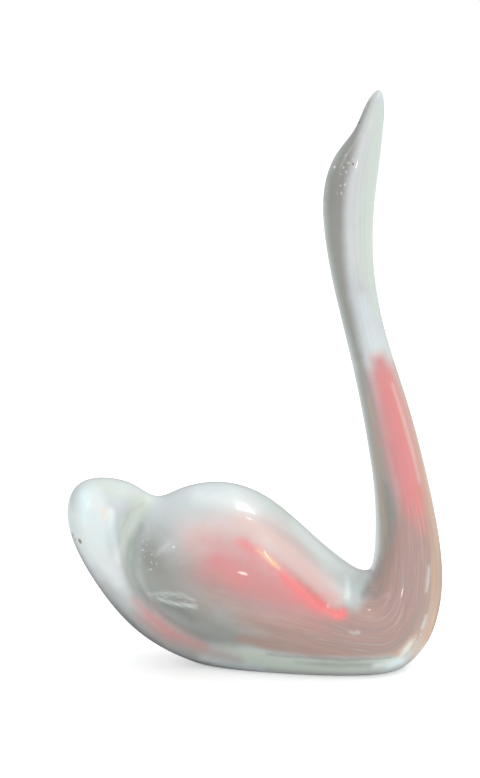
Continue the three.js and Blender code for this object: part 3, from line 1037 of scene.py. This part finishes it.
        colour = bench.mix(craze * bench.coat(Coat.CRAZE) * self.craze_share, colour, self.milk_and_highlight)
        colour = bench.mix(streaked * bench.noise(streaks, self.fine_streaks), colour, self.streak_light)
        # Bubbles and pinholes lightened as a painted glint.
        colour = bench.mix(dots * self.bubble_glint_share, colour, self.milk_and_highlight)
        return bench.mix(pits * self.chip_share, colour, self.pit)

    def _faults(self, bench: Bench, place: bpy.types.NodeSocket) -> tuple[Value, Value]:
        """The chips, and the bubbles with the clustered pinholes, each as a share.

        The pinholes are broken rings about the middles of a cell pattern.

        Args:
            bench: the material's bench.
            place: the object's own coordinates, in millimetres.

        Returns:
            The share of chip and the share of bubble.
        """
        inputs = {"Vector": place, "Scale": self.pinhole_cells}
        cells = bench.node("ShaderNodeTexVoronoi", {"feature": "F1"}, inputs)
        away = Value(bench, cells.outputs["Distance"])
        rings = away.step(*self.ring_outside) * away.step(*self.ring_inside)
        rings = rings * bench.noise(place, self.ring_gaps)
        clustered = self.ring_share * rings * bench.coat(Coat.BLISTER).step(*self.cluster_edge)
        spots = {
            fault: sum(self._spot(bench, place, blemish) for blemish in BLEMISHES if blemish.fault is fault)
            for fault in Fault
        }
        return spots[Fault.CHIP].clipped(), (spots[Fault.BUBBLE] + clustered).clipped()

    def _spot(self, bench: Bench, place: bpy.types.NodeSocket, blemish: Blemish) -> Value:
        """A blemish's share: 0 a little outside its radius and 1 well inside it.

        Args:
            bench: the material's bench.
            place: the object's own coordinates, in millimetres.
            blemish: the fault.

        Returns:
            The share at each point.
        """
        apart = bench.node("ShaderNodeVectorMath", {"operation": "DISTANCE"}, {0: place, 1: blemish.place})
        outside, inside = (blemish.radius * edge for edge in self.spot_edge)
        return Value(bench, apart.outputs["Value"]).step(outside, inside)

    def _sprayed(self, share: Value, spatter: Value) -> Value:
        """A coat's share with an uneven edge: the spatter counts most where the share is one half."""
        return (share + share * (1.0 - share) * spatter * self.spatter_share).clipped()

    def _relief(self, bench: Bench, bare: Value, faults: Value) -> bpy.types.NodeSocket:
        """The glaze's slight waviness, the grain of the bare sole and the small faults.

        Args:
            bench: the material's bench.
            bare: the share of bare sole.
            faults: the height of the small faults, in millimetres.

        Returns:
            The normal that the shader takes.
        """
        place = bench.place()
        waves = bench.noise(place, self.waves) * (1.0 - bare) * self.wave_height
        grain = bench.noise(place, self.grain) * bare * self.grain_height
        inputs = {"Strength": self.relief_strength, "Distance": METRES, "Height": waves + grain + faults}
        return bench.node("ShaderNodeBump", {}, inputs).outputs[0]


# The piece.


@dataclass
class GlazedSwan:
    """The swan, cast, sprayed and glazed in one piece.

    The sole is bare from bare_starts millimetres below the table, as drawn, over bare_span more.
    """

    form: SwanForm = field(default_factory=SwanForm)
    glaze: PearlGlaze = PearlGlaze()
    name: str = "glazed_swan"
    node: str = "swan_figure"
    bare_starts: float = 0.9
    bare_span: float = 0.5

    def build(self) -> bpy.types.Object:
        """Makes the mesh, paints it and glazes it.

        Returns:
            The finished piece, riding on the model's one body.
        """
        skin = self.form.skin(*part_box(self.node))
        piece = bpy.data.objects.new(self.name, self._mesh(skin))
        bpy.context.scene.collection.objects.link(piece)
        piece.data.materials.append(self.glaze.material())
        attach(piece, "root")
        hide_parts(self.node)
        LOG.info("%s: %d vertices, %d faces", self.name, len(piece.data.vertices), len(piece.data.polygons))
        return piece

    def _mesh(self, skin: Skin) -> bpy.types.Mesh:
        """Joins the grid's rows into quads, with a fan of triangles to one point at either tip.

        Args:
            skin: the finished surface.

        Returns:
            The closed mesh, in metres, with every coat as an attribute.
        """
        rows, around, _ = skin.places.shape
        inner = skin.places[1:-1].reshape(-1, 3)
        vertices = np.concatenate((inner, skin.places[:1, 0], skin.places[-1:, 0])) * METRES
        here = np.arange((rows - 2) * around).reshape(rows - 2, around)
        beside = np.roll(here, -1, axis=1)
        quads = np.stack((here[:-1], beside[:-1], beside[1:], here[1:]), axis=-1).reshape(-1, 4)
        tail_fan = np.stack((beside[0], here[0], np.full(around, len(inner))), axis=-1)
        bill_fan = np.stack((here[-1], beside[-1], np.full(around, len(inner) + 1)), axis=-1)
        mesh = bpy.data.meshes.new(self.name)
        mesh.from_pydata(vertices.tolist(), [], quads.tolist() + tail_fan.tolist() + bill_fan.tolist())
        if self._volume(vertices, quads) < 0:
            mesh.flip_normals()
        mesh.polygons.foreach_set("use_smooth", np.ones(len(mesh.polygons), dtype=bool))
        for coat, values in self._coats(skin).items():
            kind, slot = ("FLOAT_VECTOR", "vector") if coat is Coat.SWEEP else ("FLOAT", "value")
            layer = mesh.attributes.new(coat.value, kind, "POINT")
            tips = np.stack((values[0, 0], values[-1, 0]))
            flat = np.concatenate((values[1:-1].reshape(-1, *values.shape[2:]), tips))
            layer.data.foreach_set(slot, flat.astype(np.float32).ravel())
        mesh.update()
        return mesh

    @staticmethod
    def _volume(vertices: Array, quads: Array) -> float:
        """Six times the enclosed volume, above nought where the faces point outwards."""
        a, b, c, d = (vertices[quads[:, k]] for k in range(4))
        return float((np.cross(a, b) * c).sum() + (np.cross(a, c) * d).sum())

    def _coats(self, skin: Skin) -> dict[Coat, Array]:
        """Every coat's share at each grid point: one less the product of what its strokes leave.

        Args:
            skin: the finished surface.

        Returns:
            The shares of each coat, and the streaks' coordinates.
        """
        x, z = skin.places[..., 0], skin.places[..., 2]
        coats: dict[Coat, Array] = {coat: np.zeros_like(x) for coat in Coat if coat is not Coat.SWEEP}
        for stroke in STROKES:
            left = 1.0 - np.clip(stroke.mask(x, z), 0.0, 1.0)
            coats[stroke.coat] = 1.0 - (1.0 - coats[stroke.coat]) * left
        coats[Coat.BARE] = ease((skin.sunk - self.bare_starts) / self.bare_span)
        coats[Coat.SWEEP] = skin.sweep
        return coats


# The studio and the camera.


@dataclass(frozen=True)
class SoftBox:
    """An oval studio light that faces the swan; its sizes and distance are in metres."""

    name: str
    azimuth: float
    elevation: float
    width: float
    height: float
    power: float
    colour: Colour = WHITE
    distance: float = 0.9

    def build(self, aim: Vector) -> bpy.types.Object:
        """Makes the light.

        Args:
            aim: the point that it faces, in metres.

        Returns:
            The light, hidden from the camera.
        """
        lamp = bpy.data.lights.new(self.name, "AREA")
        lamp.shape = "ELLIPSE"
        lamp.size, lamp.size_y = self.width, self.height
        lamp.energy = self.power
        lamp.color = self.colour
        made = bpy.data.objects.new(self.name, lamp)
        made.location = aim + direction(self.azimuth, self.elevation) * self.distance
        made.rotation_euler = (made.location - aim).to_track_quat("Z", "Y").to_euler()
        made.visible_camera = False
        bpy.context.scene.collection.objects.link(made)
        return made


def direction(azimuth: float, elevation: float) -> Vector:
    """The unit vector at an azimuth from −Y towards +X, and an elevation, in degrees."""
    a, e = math.radians(azimuth), math.radians(elevation)
    return Vector((math.sin(a) * math.cos(e), -math.cos(a) * math.cos(e), math.sin(e)))


@dataclass
class Studio:
    """The pale floor, the white surround and the soft lights; lengths are in metres.

    The sky in the glaze goes from dim to bright as its direction turns towards bright_side, over
    the cosines of sky_band.
    """

    floor_half: float = 6.0
    floor_colour: Colour = (0.94, 0.94, 0.94)
    floor_glow: float = 0.42
    backdrop: float = 1.1
    bright: float = 1.05
    dim: float = 0.36
    bright_side: Place = (0.30, -0.35, 0.89)
    sky_band: tuple[float, float] = (-0.7, 1.0)
    sky_colour: Colour = (0.99, 1.0, 1.0)
    aim: Place = (0.0, 0.0, 0.07)
    lights: tuple[SoftBox, ...] = (
        SoftBox("overhead_light", 123.0, 63.0, 0.34, 0.26, 1.5, (0.92, 0.97, 1.0)),
        SoftBox("side_light", 78.0, 46.0, 0.08, 0.06, 0.20, (1.0, 0.90, 0.68)),
        SoftBox("window_light", 111.0, 38.0, 0.06, 0.10, 0.16, (0.95, 0.98, 1.0)),
        SoftBox("front_light", 7.0, 18.0, 0.06, 0.05, 0.13, (1.0, 0.96, 0.86)),
        SoftBox("left_light", -61.0, 39.0, 0.13, 0.36, 0.25, (0.84, 0.97, 1.0)),
    )

    def build(self) -> None:
        """Makes the floor, the surround and the lights."""
        self._floor()
        self._surround()
        for light in self.lights:
            light.build(Vector(self.aim))
        bpy.context.scene.view_settings.view_transform = "Standard"
        LOG.info("studio: floor, surround and %d lights", len(self.lights))

    def _floor(self) -> None:
        """A flat square at the height of the table, a little brighter to the camera than it is lit."""
        h = self.floor_half
        mesh = bpy.data.meshes.new("floor")
        mesh.from_pydata([(-h, -h, 0), (h, -h, 0), (h, h, 0), (-h, h, 0)], [], [(0, 1, 2, 3)])
        material = bpy.data.materials.new("pale_floor")
        bench = Bench(material)
        ray = bench.node("ShaderNodeLightPath", {}, {}).outputs["Is Camera Ray"]
        inputs = {"Base Color": rgba(self.floor_colour), "Roughness": 1.0}
        inputs |= {"Emission Color": bench.mix(ray, BLACK, WHITE), "Emission Strength": self.floor_glow}
        bench.finish("ShaderNodeOutputMaterial", bench.node("ShaderNodeBsdfPrincipled", {}, inputs))
        mesh.materials.append(material)
        floor = bpy.data.objects.new("floor", mesh)
        bpy.context.scene.collection.objects.link(floor)

    def _surround(self) -> None:
        """A white backdrop to the camera, and to the glaze a soft sky that is brightest up in front."""
        world = bpy.data.worlds.new("white_surround")
        bench = Bench(world)
        seen = bench.node("ShaderNodeBackground", {}, {"Color": rgba(WHITE), "Strength": self.backdrop})
        way = bench.node("ShaderNodeTexCoord", {}, {}).outputs["Generated"]
        inputs = {0: way, 1: self.bright_side}
        facing = bench.node("ShaderNodeVectorMath", {"operation": "DOT_PRODUCT"}, inputs)
        share = Value(bench, facing.outputs["Value"]).step(*self.sky_band)
        strength = self.dim + share * (self.bright - self.dim)
        inputs = {"Color": rgba(self.sky_colour), "Strength": strength}
        sky = bench.node("ShaderNodeBackground", {}, inputs)
        ray = bench.node("ShaderNodeLightPath", {}, {}).outputs["Is Camera Ray"]
        inputs = {0: ray, 1: sky.outputs[0], 2: seen.outputs[0]}
        bench.finish("ShaderNodeOutputWorld", bench.node("ShaderNodeMixShader", {}, inputs))
        bpy.context.scene.world = world


@dataclass(frozen=True)
class PhotoCamera:
    """The camera of the reference photograph; target and distance in metres, sensor in millimetres."""

    target: Place = (-0.0053, 0.0, 0.0979)
    azimuth: float = 0.0
    elevation: float = 8.0
    distance: float = 0.656
    focal_pixels: float = 1898.0
    sensor: float = 36.0

    def build(self) -> bpy.types.Object:
        """Makes the camera and gives it to the scene.

        Returns:
            The camera.
        """
        data = bpy.data.cameras.new("photo_camera")
        data.sensor_width = self.sensor
        data.lens = self.sensor * self.focal_pixels / max(PHOTO_WIDTH, PHOTO_HEIGHT)
        camera = bpy.data.objects.new("photo_camera", data)
        target = Vector(self.target)
        camera.location = target + direction(self.azimuth, self.elevation) * self.distance
        camera.rotation_euler = (camera.location - target).to_track_quat("Z", "Y").to_euler()
        bpy.context.scene.collection.objects.link(camera)
        bpy.context.scene.camera = camera
        return camera


def main() -> None:
    """Builds the swan, the studio and the camera."""
    logging.basicConfig(level=logging.INFO, format="%(name)s: %(message)s")
    PhotoCamera().build()
    GlazedSwan().build()
    Studio().build()


if __name__ == "__main__":
    main()
